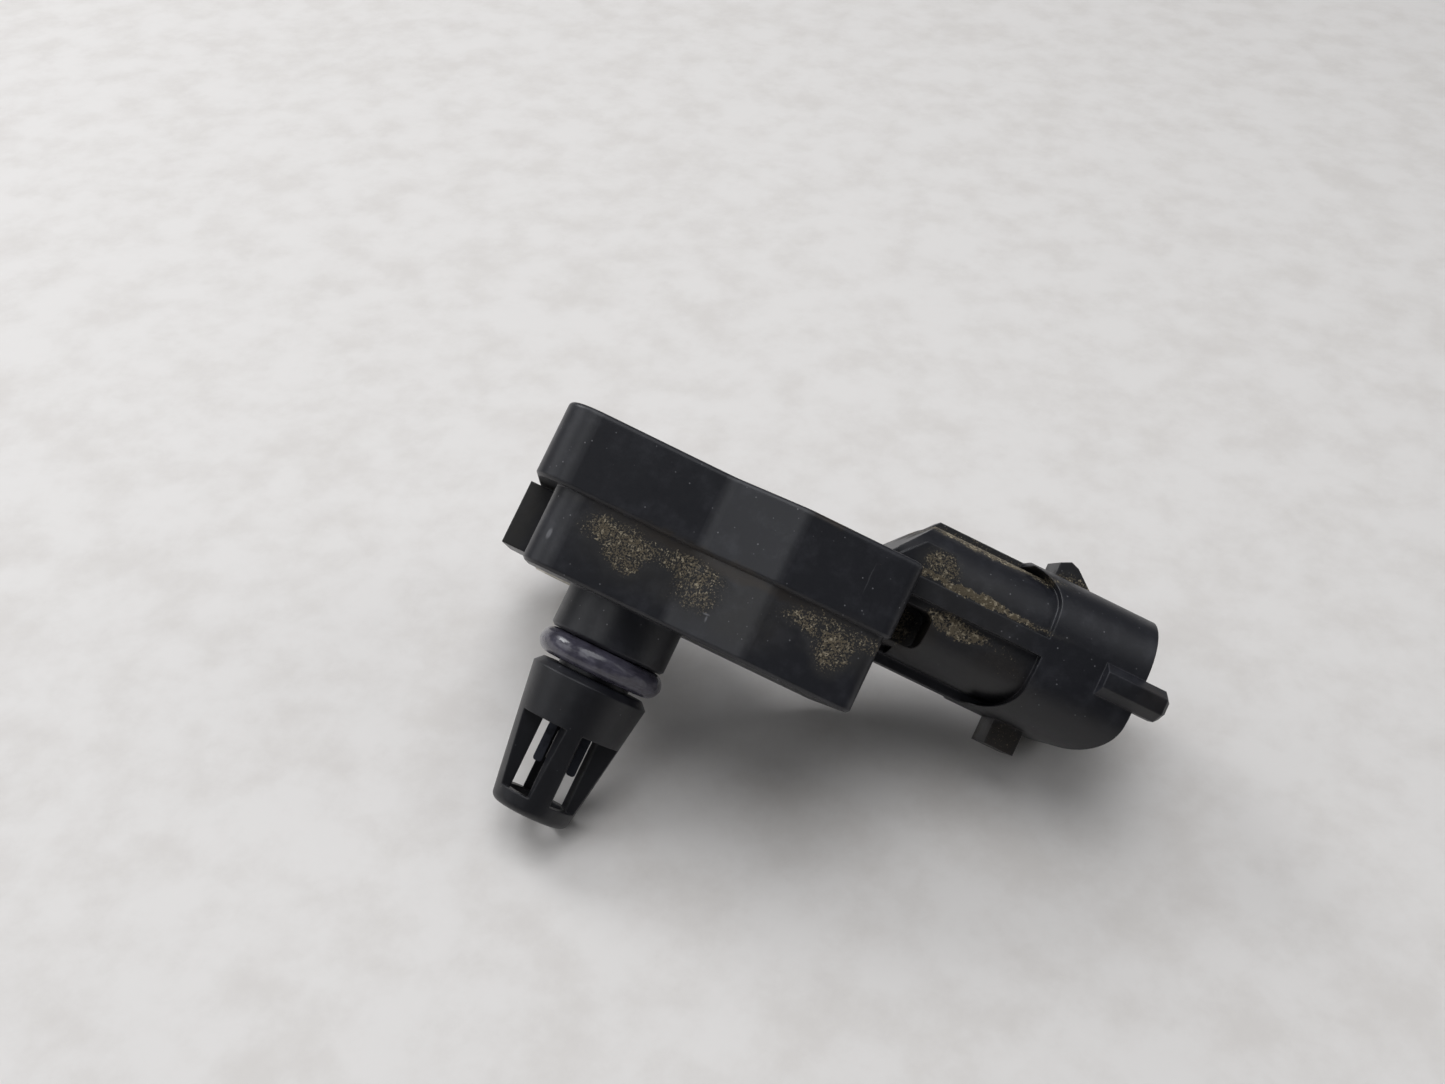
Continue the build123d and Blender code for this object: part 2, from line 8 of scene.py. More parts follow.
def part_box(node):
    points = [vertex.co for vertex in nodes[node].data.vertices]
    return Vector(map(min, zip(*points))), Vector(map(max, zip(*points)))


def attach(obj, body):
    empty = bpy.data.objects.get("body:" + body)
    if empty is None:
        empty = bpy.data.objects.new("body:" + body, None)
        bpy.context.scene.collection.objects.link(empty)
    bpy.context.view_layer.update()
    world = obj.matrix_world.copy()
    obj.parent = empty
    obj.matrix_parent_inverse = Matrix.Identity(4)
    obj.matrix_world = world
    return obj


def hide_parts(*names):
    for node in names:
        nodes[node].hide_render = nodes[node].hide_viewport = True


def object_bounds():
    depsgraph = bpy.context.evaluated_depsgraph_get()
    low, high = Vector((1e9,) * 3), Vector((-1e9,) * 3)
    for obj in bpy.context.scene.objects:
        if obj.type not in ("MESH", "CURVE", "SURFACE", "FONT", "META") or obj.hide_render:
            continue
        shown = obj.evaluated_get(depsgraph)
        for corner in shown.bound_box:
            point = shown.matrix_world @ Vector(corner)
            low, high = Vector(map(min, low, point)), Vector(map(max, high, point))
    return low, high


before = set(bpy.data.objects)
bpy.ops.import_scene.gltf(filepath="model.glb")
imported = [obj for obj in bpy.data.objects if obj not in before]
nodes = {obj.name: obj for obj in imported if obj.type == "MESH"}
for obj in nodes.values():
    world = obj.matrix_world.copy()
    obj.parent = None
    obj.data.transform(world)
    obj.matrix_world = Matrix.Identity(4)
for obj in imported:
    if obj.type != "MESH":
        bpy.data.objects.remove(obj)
cadLow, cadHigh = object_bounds()
mm = 0.001
print("loaded", len(nodes), "nodes")


# Shader maths: a Signal wraps one socket, so that masks are written as plain sums
class Signal:
    def __init__(self, skin, socket):
        self.skin = skin
        self.socket = socket

    def maths(self, operation, *values):
        return self.skin.node("ShaderNodeMath", {"operation": operation}, dict(enumerate(values)))

    def __add__(self, other):
        return self.maths("ADD", self, other)

    def __radd__(self, other):
        return self.maths("ADD", other, self)

    def __sub__(self, other):
        return self.maths("SUBTRACT", self, other)

    def __rsub__(self, other):
        return self.maths("SUBTRACT", other, self)

    def __mul__(self, other):
        return self.maths("MULTIPLY", self, other)

    def __rmul__(self, other):
        return self.maths("MULTIPLY", other, self)

    def largest(self, other):
        return self.maths("MAXIMUM", self, other)

    def step(self, low, high, before, after):  # a soft step from one value to another
        values = {0: self, 1: low, 2: high, 3: before, 4: after}
        return self.skin.node("ShaderNodeMapRange", {"interpolation_type": "SMOOTHSTEP"}, values)

    def rise(self, low, high):  # 0 below low, 1 above high
        return self.step(low, high, 0.0, 1.0)

    def fall(self, low, high, top=1.0):  # top below low, 0 above high
        return self.step(low, high, top, 0.0)


# One material: constants go straight onto the shader's sockets, the rest is linked at the end
class Skin:
    zoneBorder = (0.45, 1.15)  # where a zone begins to thin out and where it ends, in shares of its reach

    def __init__(self, name, **constants):
        self.material = bpy.data.materials.new(name)
        self.material.use_nodes = True
        self.tree = self.material.node_tree
        self.shader = self.tree.nodes["Principled BSDF"]
        for key, value in constants.items():
            self.shader.inputs[key.replace("_", " ")].default_value = value
        self.place = self.node("ShaderNodeTexCoord", out="Object")
        split = self.node("ShaderNodeSeparateXYZ", {}, {0: self.scaled(self.place, 1 / mm)})
        outputs = split.socket.node.outputs
        self.x, self.y, self.z = (Signal(self, outputs[axis]) for axis in "XYZ")  # millimetres

    def node(self, kind, settings=None, values=None, out=0):
        made = self.tree.nodes.new(kind)
        for key, value in (settings or {}).items():
            setattr(made, key, value)
        for key, value in (values or {}).items():
            if isinstance(value, Signal):
                self.tree.links.new(value.socket, made.inputs[key])
            else:
                made.inputs[key].default_value = value
        return Signal(self, made.outputs[out])

    def vector(self, operation, *vectors, out=0):
        return self.node("ShaderNodeVectorMath", {"operation": operation}, dict(enumerate(vectors)), out)

    def scaled(self, vector, factor):
        return self.vector("MULTIPLY", vector, (factor, factor, factor))

    def noise(self, size, detail, rough, vector=None, out="Fac"):  # size of a blotch in mm
        scale = 1 / (size * mm)
        values = {"Vector": vector or self.place, "Scale": scale, "Detail": detail, "Roughness": rough}
        return self.node("ShaderNodeTexNoise", {}, values, out)

    def blotches(self, size, detail, rough, low, high):  # a noise cut down to a mask by a soft step
        return self.noise(size, detail, rough).rise(low, high)

    def streaks(self, size, detail, rough, along):  # a noise squeezed by another amount along each axis
        return self.noise(size, detail, rough, self.vector("MULTIPLY", self.place, along))

    def spots(self, size, low, high):  # round spots, one in each cell of about this size in mm
        values = {"Vector": self.place, "Scale": 1 / (size * mm)}
        return self.node("ShaderNodeTexVoronoi", {}, values).fall(low, high)

    def bothSides(self, drift, ragged):  # the place in mm, folded to the +Y side and shaken by a noise
        values = {0: self.x, 1: self.y.maths("ABSOLUTE", self.y), 2: self.z}
        folded = self.node("ShaderNodeCombineXYZ", {}, values)
        shake = self.vector("SUBTRACT", self.noise(*ragged, out="Color"), (0.5, 0.5, 0.5))
        return self.vector("ADD", folded, self.scaled(shake, drift))

    def zones(self, place, zones):  # the largest share that any of the egg-shaped zones gives
        total = None
        for centre, reach, share in zones:
            apart = self.vector("DIVIDE", self.vector("SUBTRACT", place, centre), reach)
            one = self.vector("LENGTH", apart, out="Value").fall(*self.zoneBorder, share)
            total = one if total is None else total.largest(one)
        return total

    def mix(self, amount, first, second):
        values = {0: amount, 6: first, 7: second}
        return self.node("ShaderNodeMix", {"data_type": "RGBA"}, values, 2)

    def rounded(self, radius):  # the shading normal, rounded over the edges by a radius in mm
        return self.node("ShaderNodeBevel", {"samples": 6}, {"Radius": radius * mm})

    def turned(self, rounded):  # how far that rounded normal has turned: 0 away from the edges
        flat = self.node("ShaderNodeNewGeometry", out="Normal")
        return 1 - self.vector("DOT_PRODUCT", rounded, flat, out="Value")

    def bump(self, height, depth, normal=None, strength=1.0):  # depth in millimetres
        values = {"Height": height, "Distance": depth * mm, "Strength": strength}
        if normal:
            values["Normal"] = normal
        return self.node("ShaderNodeBump", {}, values)

    def done(self, **links):
        for key, value in links.items():
            self.tree.links.new(value.socket, self.shader.inputs[key.replace("_", " ")])
        return self.material


def rgb(red, green, blue):  # a screen colour, 0 to 255, as the linear colour that a socket takes
    shares = [c / 255 for c in (red, green, blue)]
    linear = [s / 12.92 if s <= 0.04045 else ((s + 0.055) / 1.055) ** 2.4 for s in shares]
    return (*linear, 1.0)


def swinging(middle, patterns, swings):  # a roughness that swings about its middle with each pattern
    start = middle - sum(swings) / 2
    return sum((pattern * swing for pattern, swing in zip(patterns, swings)), start)


# In the finishes a colour is 0 to 255. A pattern gives the size of its blotches in mm, its detail and
# its roughness, and a mask also says where its soft step begins and ends.

# Housing: black glass-filled plastic, satin, with road dust dried onto its lower half and its neck,
# painted shade on its cage and under its neck, and wear with a painted highlight along its edges
housingFinish = {
    "black": (21, 22, 28),
    # pale colour of the smudges, and of the edges' wear and painted highlight
    "wear and edge highlight": (86, 87, 94),
    "dust": (104, 94, 76),
    "pale dust": (176, 164, 140),
    "film": (50, 47, 40),
    "grime": (46, 37, 26),
    "fleck": (120, 120, 124),
    # the darkest colour: painted shade on the cage and on the connector's lower sides, and the gaps
    # between the dust crumbs
    "darkest": (13, 13, 17),
    "clouds lighter by": 1.35,  # times the black
    "edge": 0.22,  # how far the edges are rounded, in mm
    "edge step": (0.01, 0.2),
    # lighter rounded edges, partly wear and partly a painted highlight
    "rubbedAndHighlit": (2.4, 3.0, 0.6, 0.35, 0.7),
    "grain": (0.22, 3.0, 0.6),
    "pits": (0.704, 2.0, 0.55),
    "clouds": (9.0, 3.0, 0.55),
    "smudges": (2.6, 5.0, 0.66, 0.46, 0.74),
    "flecks": (1.0, 0.04, 0.1),  # distance apart in mm, and the soft step at their border
    "fleck groups": (1.1, 2.0, 0.5, 0.4, 0.56),
    "crumbs": (0.19, 2.0, 0.7),
    "crumb step": (0.77, 0.88),
    "gap step": (0.42, 0.54),
    "lime": (0.35, 2.0, 0.5, 0.52, 0.66),  # where the crumbs are pale
    "clumps": (1.1, 3.0, 0.6),
    "ragged": (1.6, 4.0, 0.62),
    "drift": 1.9,  # how far the ragged borders of the dirt wander, in mm
    "scuff drift": 0.25,
    "clumping": {"dusty": (1.1, 0.42), "filmy": (0.8, 0.2), "grimy": (0.8, 0.4)},  # swing and least
    "cage painted shade": (-9.0, -7.0, 0.6),  # painted shade on the cage: full below the first height, none above the second, and its share
    "roughness": 0.41,
    "gloss swings": (0.1, 0.08, 0.06),  # by the grain, the pits and the clouds
    "duller": {"dusty": 0.3, "filmy": 0.12},
    "relief": 0.012,  # depths in mm
    "relief shares": (0.5, 0.5),  # of the grain and of the pits
    "crust": 0.06,
    "shares": {
        "clouds": 0.35,
        "smudges": 0.16,
        "rubbedAndHighlit": 0.5,
        "flecks": 0.8,
        "film": 0.5,
        "grime": 0.7,
        "gaps": 0.75,
        "crumbs": 0.78,
        "crumbs in dust": 0.33,
    },
    "dusty": (  # centre and reach in mm, on both sides of the object, and how thickly it lies
        ((-3.2, 9.6, 5.5), (5.7, 2.6, 2.0), 1.0),
        ((-2.6, 9.6, 3.9), (2.6, 2.6, 1.8), 0.95),
        ((3.4, 9.6, 5.6), (5.8, 2.6, 1.8), 0.94),
        ((4.8, 9.8, 3.9), (3.2, 2.6, 2.4), 0.84),
        ((16.4, 12.6, 6.0), (5.6, 2.4, 1.6), 0.96),
        ((18.0, 12.6, 4.6), (2.5, 2.4, 2.7), 1.0),
        ((20.8, 12.6, 6.3), (2.2, 2.4, 1.2), 0.8),
        ((29.0, 9.4, 15.0), (9.4, 1.7, 0.6), 1.6),
        ((29.0, 5.2, 19.8), (11.0, 4.2, 0.75), 1.3),
        ((30.0, 1.2, 20.6), (10.0, 0.6, 0.8), 0.62),
        ((24.4, 9.0, 16.4), (2.6, 2.0, 1.9), 0.95),
        ((28.4, 9.0, 11.6), (4.6, 2.4, 1.2), 1.2),
        ((33.4, 8.0, 11.0), (3.6, 3.0, 2.2), 0.4),
        ((23.4, 2.2, 19.2), (2.6, 3.0, 1.9), 0.78),
        ((23.9, 6.5, 9.8), (2.4, 4.6, 2.4), 1.15),
        ((43.6, 11.6, 15.1), (2.6, 1.5, 0.6), 1.1),
        ((38.6, 2.0, 21.2), (2.8, 2.6, 1.0), 0.86),
        ((38.4, 2.4, 4.6), (2.4, 1.6, 2.4), 0.5),
    ),
    "filmy": (
        ((1.0, 10.0, 4.6), (11.0, 4.0, 3.6), 0.85),
        ((9.5, 11.5, 4.2), (5.5, 4.0, 3.8), 0.8),
        ((18.2, 12.6, 5.4), (4.6, 3.0, 3.0), 0.85),
        ((28.6, 8.6, 13.4), (8.0, 4.4, 4.6), 0.6),
        ((38.5, 2.0, 22.0), (2.8, 3.0, 2.2), 0.8),
        ((24.0, 2.4, 19.0), (4.0, 3.4, 2.6), 0.6),
        ((-13.6, 1.5, 3.6), (2.6, 4.0, 7.0), 1.6),
    ),
    "grimy": (
        ((6.0, 10.6, 7.2), (17.0, 4.0, 0.9), 1.0),
        ((24.4, 7.4, 9.4), (3.0, 5.4, 2.8), 1.0),
        ((33.6, 8.6, 8.6), (4.0, 4.4, 3.4), 0.55),
        ((47.2, 11.4, 13.2), (1.6, 2.0, 2.2), 0.5),
        ((13.2, 12.8, 15.2), (2.6, 1.6, 0.5), 1.0),
        ((38.2, 2.6, 4.4), (2.8, 2.8, 2.4), 0.8),
    ),
    # painted shade: darker zones on the lower sides of the neck's barrel and the shroud and beside the
    # guide lug, where they face away from the light
    "paintedShade": (
        ((31.0, 7.0, 7.4), (10.0, 6.4, 3.6), 0.75),
        ((43.0, 8.0, 7.2), (7.4, 7.0, 3.4), 0.6),
        ((46.6, 12.2, 12.4), (5.0, 2.4, 1.9), 0.6),
    ),
    "scuffed": (
        ((6.5, 9.9, 2.6), (0.5, 1.2, 0.14), 0.8),
        ((6.6, 9.9, 2.2), (0.14, 1.2, 0.45), 0.7),
        ((-9.6, 9.0, 3.1), (0.25, 1.6, 0.6), 0.55),
        ((18.2, 13.0, 11.8), (0.07, 1.2, 1.6), 0.16),
        ((35.6, 1.2, 20.6), (0.12, 0.8, 0.7), 0.6),
    ),
}


def moulding(name, finish):  # what the housing and the cover have in common: a worn, grained plastic, its rounded edges lighter by wear and a painted highlight
    shares = finish["shares"]
    skin = Skin(name)
    rounded = skin.rounded(finish["edge"])
    grain = skin.noise(*finish["grain"])
    clouds = skin.noise(*finish["clouds"])
    # rounded edges lighter in patches: wear and a painted highlight
    rubbedAndHighlit = skin.turned(rounded).rise(*finish["edge step"]) * skin.blotches(*finish["rubbedAndHighlit"])
    flecks = skin.spots(*finish["flecks"]) * skin.blotches(*finish["fleck groups"])
    black = finish["black"]
    lighter = [c * finish["clouds lighter by"] for c in black]
    colour = skin.mix(clouds * shares["clouds"], rgb(*black), rgb(*lighter))
    layers = (  # from the bottom up: how much of each, and its colour
        (skin.blotches(*finish["smudges"]) * shares["smudges"], "wear and edge highlight"),
        (rubbedAndHighlit * shares["rubbedAndHighlit"], "wear and edge highlight"),
        (flecks * shares["flecks"], "fleck"),
    )
    for amount, tint in layers:
        colour = skin.mix(amount, colour, rgb(*finish[tint]))
    return skin, rounded, grain, clouds, colour


def housingPlastic():
    finish = housingFinish
    shares = finish["shares"]
    skin, rounded, grain, clouds, colour = moulding("housingPlastic", finish)
    pits = skin.noise(*finish["pits"])
    crumbs = skin.noise(*finish["crumbs"])
    clumps = skin.noise(*finish["clumps"])
    place = skin.bothSides(finish["drift"], finish["ragged"])

    def laid(kind):  # the zones of one kind of dirt, thicker where it clumps
        swing, least = finish["clumping"][kind]
        return skin.zones(place, finish[kind]) * (clumps * swing + least)

    dusty, filmy, grimy = laid("dusty"), laid("filmy"), laid("grimy")
    # painted shade: darker on the cage below the spigot and on the connector's lower sides
    paintedShade = skin.z.fall(*finish["cage painted shade"]).largest(skin.zones(place, finish["paintedShade"]))
    scuffed = skin.zones(skin.bothSides(finish["scuff drift"], finish["ragged"]), finish["scuffed"])
    gaps = crumbs.fall(*finish["gap step"]) * dusty
    layers = (  # from the bottom up, as above
        (filmy.largest(dusty) * shares["film"], "film"),
        (grimy * shares["grime"], "grime"),
        (gaps * shares["gaps"], "darkest"),
        (paintedShade, "darkest"),
        (scuffed, "fleck"),
    )
    for amount, tint in layers:
        colour = skin.mix(amount, colour, rgb(*finish[tint]))
    lime = skin.mix(skin.blotches(*finish["lime"]), rgb(*finish["dust"]), rgb(*finish["pale dust"]))
    piled = (crumbs + dusty * shares["crumbs in dust"]).rise(*finish["crumb step"])
    colour = skin.mix(piled * shares["crumbs"], colour, lime)
    duller = dusty * finish["duller"]["dusty"] + filmy * finish["duller"]["filmy"]
    rough = swinging(finish["roughness"], (grain, pits, clouds), finish["gloss swings"]) + duller
    grainShare, pitShare = finish["relief shares"]
    relief = skin.bump(grain * grainShare + pits * pitShare, finish["relief"], rounded)
    crust = skin.bump(crumbs, finish["crust"], relief, dusty)
    return skin.done(Base_Color=colour, Roughness=rough, Normal=crust)


# Cover: the same plastic, a little greyer and finer, and clean
coverFinish = {
    **housingFinish,
    "black": (27, 28, 33),
    "grain": (0.16, 3.0, 0.6),
    "roughness": 0.53,
    "gloss swings": (0.12, 0.1),  # by the grain and the clouds
    "relief": 0.015,
}


def coverPlastic():
    finish = coverFinish
    skin, rounded, grain, clouds, colour = moulding("coverPlastic", finish)
    rough = swinging(finish["roughness"], (grain, clouds), finish["gloss swings"])
    relief = skin.bump(grain, finish["relief"], rounded)
    return skin.done(Base_Color=colour, Roughness=rough, Normal=relief)


# Sealant: dark and glossy, with a little dust on it
sealantFinish = {
    "dark": (24, 24, 27),
    "light": (44, 44, 48),
    "dust": (110, 106, 96),
    "swells": (1.8, 2.0, 0.5),
    "dusty": (0.3, 3.0, 0.6, 0.55, 0.7),
    "dust share": 0.35,
    "roughness": 0.295,
    "gloss swings": (0.15,),
    "relief": 0.05,
}


def sealant():
    finish = sealantFinish
    skin = Skin("sealant")
    swells = skin.noise(*finish["swells"])
    dusty = skin.blotches(*finish["dusty"]) * finish["dust share"]
    colour = skin.mix(swells, rgb(*finish["dark"]), rgb(*finish["light"]))
    colour = skin.mix(dusty, colour, rgb(*finish["dust"]))
    rough = swinging(finish["roughness"], (swells,), finish["gloss swings"])
    return skin.done(Base_Color=colour, Roughness=rough, Normal=skin.bump(swells, finish["relief"]))


# Ring: grey-violet rubber with a bloom on it, streaked along its way round
ringFinish = {
    "dark": (58, 56, 67),
    "light": (80, 78, 91),
    "streak": (98, 96, 108),
    "bloom": (1.3, 4.0, 0.6),
    "bloom step": (0.3, 0.7),
    "fine": (0.12, 3.0, 0.6),
    "streaks": (0.5, 3.0, 0.6, (0.25, 0.25, 3.0)),
    "streak step": (0.52, 0.72),
    "streak share": 0.5,
    "specular": 0.65,
    "roughness": 0.21,
    "gloss swings": (0.1, 0.06),  # by the bloom and by the fine pattern
    "relief": 0.005,
    "relief shares": (0.4, 0.6),  # of the fine pattern and of the streaks
}


def ringRubber():
    finish = ringFinish
    skin = Skin("ringRubber", Specular_IOR_Level=finish["specular"])
    bloom = skin.noise(*finish["bloom"])
    fine = skin.noise(*finish["fine"])
    streaks = skin.streaks(*finish["streaks"])
    colour = skin.mix(bloom.rise(*finish["bloom step"]), rgb(*finish["dark"]), rgb(*finish["light"]))
    streaky = streaks.rise(*finish["streak step"]) * finish["streak share"]
    colour = skin.mix(streaky, colour, rgb(*finish["streak"]))
    rough = swinging(finish["roughness"], (bloom, fine), finish["gloss swings"])
    fineShare, streakShare = finish["relief shares"]
    relief = skin.bump(fine * fineShare + streaks * streakShare, finish["relief"])
    return skin.done(Base_Color=colour, Roughness=rough, Normal=relief)


# Metals: each has its colour, its tarnish, its roughness, and the size in mm of its fine streaks with how
# much they are squeezed along each axis
metals = {
    "bushSteel": ((196, 192, 182), (150, 142, 122), 0.36, 0.3, (1.0, 1.0, 6.0)),
    "legMetal": ((74, 76, 84), (50, 50, 55), 0.45, 0.25, (6.0, 6.0, 1.0)),
    "tinnedMetal": ((205, 204, 200), (160, 158, 152), 0.3, 0.25, (1.0, 6.0, 6.0)),
}
metalFinish = {
    "edge": 0.08,
    "streak detail": (3.0, 0.6),
    "tarnished": (1.6, 4.0, 0.6),
    "tarnish step": (0.42, 0.75),
    "gloss swings": (0.18, 0.12),  # by the streaks and by the tarnish
    "relief": 0.006,
}


def metal(name):
    finish = metalFinish
    colour, tarnish, roughness, size, along = metals[name]
    skin = Skin(name, Metallic=1.0)
    rounded = skin.rounded(finish["edge"])
    streaks = skin.streaks(size, *finish["streak detail"], along)
    tarnished = skin.noise(*finish["tarnished"])
    mixed = skin.mix(tarnished.rise(*finish["tarnish step"]), rgb(*colour), rgb(*tarnish))
    rough = swinging(roughness, (streaks, tarnished), finish["gloss swings"])
    relief = skin.bump(streaks, finish["relief"], rounded)
    return skin.done(Base_Color=mixed, Roughness=rough, Normal=relief)


# The rest: each has a dark and a light colour, its roughness, the size of its blotches in mm and the
# depth in mm of its finer bumps
plains = {
    "beadResin": ((28, 26, 26), (48, 42, 38), 0.3, 0.8, 0.02),
    "boardLaminate": ((24, 74, 44), (36, 96, 58), 0.4, 1.2, 0.01),
    "sealRubber": ((60, 30, 28), (84, 44, 38), 0.6, 0.7, 0.01),
    "cellPlastic": ((196, 190, 172), (214, 208, 192), 0.5, 0.9, 0.01),
    "pedestalGlass": ((180, 204, 196), (204, 222, 214), 0.12, 0.6, 0.002),
    "silicon": ((66, 70, 84), (88, 92, 108), 0.2, 0.5, 0.002),
    "chipResin": ((30, 30, 31), (44, 44, 46), 0.55, 0.5, 0.01),
    "gel": ((196, 204, 210), (214, 220, 224), 0.1, 0.8, 0.02),
    "capacitorCeramic": ((148, 118, 88), (172, 142, 110), 0.45, 0.5, 0.01),
}
plainFinish = {
    "blotch detail": (4.0, 0.6),
    "light step": (0.3, 0.7),
    "finer by": 0.15,
    "fine detail": (3.0, 0.6),
    "gloss swings": (0.12, 0.08),  # by the blotches and by the fine pattern
}


def plain(name):
    finish = plainFinish
    dark, light, roughness, size, depth = plains[name]
    skin = Skin(name)
    blotched = skin.noise(size, *finish["blotch detail"])
    fine = skin.noise(size * finish["finer by"], *finish["fine detail"])
    colour = skin.mix(blotched.rise(*finish["light step"]), rgb(*dark), rgb(*light))
    rough = swinging(roughness, (blotched, fine), finish["gloss swings"])
    return skin.done(Base_Color=colour, Roughness=rough, Normal=skin.bump(fine, depth))


finishes = {
    "housing_plastic": housingPlastic(),
    "cover_plastic": coverPlastic(),
    "glue": sealant(),
    "ring_rubber": ringRubber(),
    "bush_steel": metal("bushSteel"),
    "leg_metal": metal("legMetal"),
    "tinned_metal": metal("tinnedMetal"),
    "bead_resin": plain("beadResin"),
    "board_laminate": plain("boardLaminate"),
    "seal_rubber": plain("sealRubber"),
    "cell_plastic": plain("cellPlastic"),
    "pedestal_glass": plain("pedestalGlass"),
    "silicon": plain("silicon"),
    "chip_resin": plain("chipResin"),
    "gel": plain("gel"),
    "capacitor_ceramic": plain("capacitorCeramic"),
}
for node in nodes.values():
    for slot in node.material_slots:
        slot.material = finishes[slot.material.name.split(".")[0]]
print("painted", len(finishes), "finishes")


# A piece from a grid of points that closes both ways round: each point is joined to the next one along
# its row and to the same one of the next row, and the last are joined to the first
def closedGrid(name, points):
    rows, columns = points.shape[:2]
    here = np.arange(rows * columns).reshape(rows, columns)
    beside = np.roll(here, -1, 1)
    quads = np.stack((here, beside, np.roll(beside, -1, 0), np.roll(here, -1, 0)), -1)
    mesh = bpy.data.meshes.new(name)
    mesh.from_pydata(points.reshape(-1, 3).tolist(), [], quads.reshape(-1, 4).tolist())
    mesh.shade_smooth()
    piece = bpy.data.objects.new(name, mesh)
    bpy.context.scene.collection.objects.link(piece)
    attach(piece, "root")
    return piece


# O-ring: rubber stretched into its groove, with the thin wavy line where its mould closed
ringSettings = {  # lengths in mm
    "around": 320,
    "section": 64,
    "line height": 0.05,
    "line width": 0.12,
    "line wander": 0.16,
    "line waves": ((5, 0.0, 1.0), (13, 1.0, 0.6), (29, 0.0, 0.4)),  # times round, phase and share
    "line strength": (0.7, 0.3, 41),  # its middle, its swing, and how often it swings round the ring
    "swell": 0.012,
    "swell wave": (3, 0.5),
}


def makeRing(settings):
    low, high = (np.array(corner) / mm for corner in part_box("o_ring"))
    thick = (high[2] - low[2]) / 2
    reach = (high[0] - low[0]) / 2 - thick
    around = np.linspace(0, 2 * np.pi, settings["around"], endpoint=False)[:, None]
    section = np.linspace(-np.pi, np.pi, settings["section"], endpoint=False)[None, :]
    # the ring is a circle carried round a circle. Its mould line wanders about the equator by a sum of
    # sines and stands up as a narrow bell, and the whole section swells and shrinks slowly
    waves = sum(share * np.sin(k * around + phase) for k, phase, share in settings["line waves"])
    wander = settings["line wander"] * waves
    strength, swing, times = settings["line strength"]
    bell = np.exp(-(((section - wander) * thick / settings["line width"]) ** 2))
    bell = bell * (strength + swing * np.sin(times * around))
    times, phase = settings["swell wave"]
    swell = settings["swell"] * np.sin(times * around + phase) * np.cos(section)
    radius = thick + settings["line height"] * bell + swell
    out = reach + radius * np.cos(section)
    points = np.stack((out * np.cos(around), out * np.sin(around), radius * np.sin(section)), -1)
    middle = (low + high) / 2
    ring = closedGrid("sealingRing", (points + middle) * mm)
    ring.data.materials.append(finishes["ring_rubber"])
    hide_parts("o_ring")


makeRing(ringSettings)
print("ring made")


# Sealant: the bead that runs round the cover in its groove, fuller in some places than in others
beadSettings = {  # lengths in mm
    "around": 720,
    "across": 16,
    "crown": 0.15,
    "swell": 0.09,
    "swell waves": (3, 7, 12, 19, 31),  # times round
    "phase": 1.7,
    "fading": 12,  # the higher waves are lower
    "spread": 2.5,
    "depth": 0.3,
    "overlap": 0.04,
    "narrowest groove": 0.3,
    "centre": (2.0, 0.0),
}


def corners(node):  # the points of a node's mesh, in metres
    mesh = node.data
    points = np.empty(len(mesh.vertices) * 3)
    mesh.vertices.foreach_get("co", points)
    return points.reshape(-1, 3)


def outline(name, centre, angles, least):
    # the reach of a node's top edge at each angle about the centre, and the height of that edge. It is
    # read from the node's corners within a hundredth of a mm of its top and further out than least,
    # with those at one angle taken once
    points = corners(nodes[name]) / mm
    level = points[:, 2].max()
    top = points[np.isclose(points[:, 2], level, rtol=0, atol=0.01)]
    apart = top[:, :2] - np.array(centre)
    angle = np.arctan2(apart[:, 1], apart[:, 0])
    kept = np.hypot(apart[:, 0], apart[:, 1]) > np.interp(angle, angles, least)
    angle, first = np.unique(angle[kept].round(5), return_index=True)
    across, along = (apart[kept][first, axis] for axis in (0, 1))
    # the edge runs straight from corner to corner, and each angle meets the run that spans it
    wound = np.concatenate((angle - 2 * np.pi, angle, angle + 2 * np.pi))
    x, y = np.tile(across, 3), np.tile(along, 3)
    turn = np.clip(np.searchsorted(wound, angles), 1, len(wound) - 1)
    x0, y0, x1, y1 = x[turn - 1], y[turn - 1], x[turn], y[turn]
    dx, dy = x1 - x0, y1 - y0
    return (x0 * dy - y0 * dx) / (np.cos(angles) * dy - np.sin(angles) * dx), level


def makeBead(settings):
    around = np.linspace(-np.pi, np.pi, settings["around"], endpoint=False)
    inner = outline("cover", settings["centre"], around, np.zeros_like(around))[0]
    outer, level = outline("cover_glue", settings["centre"], around, inner + settings["narrowest groove"])
    section = np.linspace(0, 2 * np.pi, settings["across"], endpoint=False)[None, :]
    # across the groove the bead is a low arch over a shallow root, and its crown rises and falls along
    # the way by a sum of slow waves
    share = (1 - np.cos(section)) / 2
    phase, fading = settings["phase"], settings["fading"]
    wave = sum(np.sin(k * around + phase * k) / (1 + k / fading) for k in settings["swell waves"])
    crown = (settings["crown"] + settings["swell"] * wave / settings["spread"])[:, None]
    lap = settings["overlap"]
    reach = (inner - lap)[:, None] * (1 - share) + (outer + lap)[:, None] * share
    height = level + np.where(np.sin(section) > 0, crown, settings["depth"]) * np.sin(section)
    x = settings["centre"][0] + reach * np.cos(around)[:, None]
    y = settings["centre"][1] + reach * np.sin(around)[:, None]
    bead = closedGrid("sealantBead", np.stack((x, y, height), -1) * mm)
    bead.data.materials.append(finishes["glue"])
    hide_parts("cover_glue")


makeBead(beadSettings)
print("bead laid")


# Camera: stands 156 mm in front of the spigot's axis, rolled so that the object leans in its picture
cameraSettings = {  # place in mm from the spigot's foot, angles in degrees
    "place": (-4.324, -155.743, -2.192),
    "yaw": 3.65,
    "pitch": 4.47,
    "roll": 25.62,
    "lens": 39.86,
    "sensor": 36.0,
}


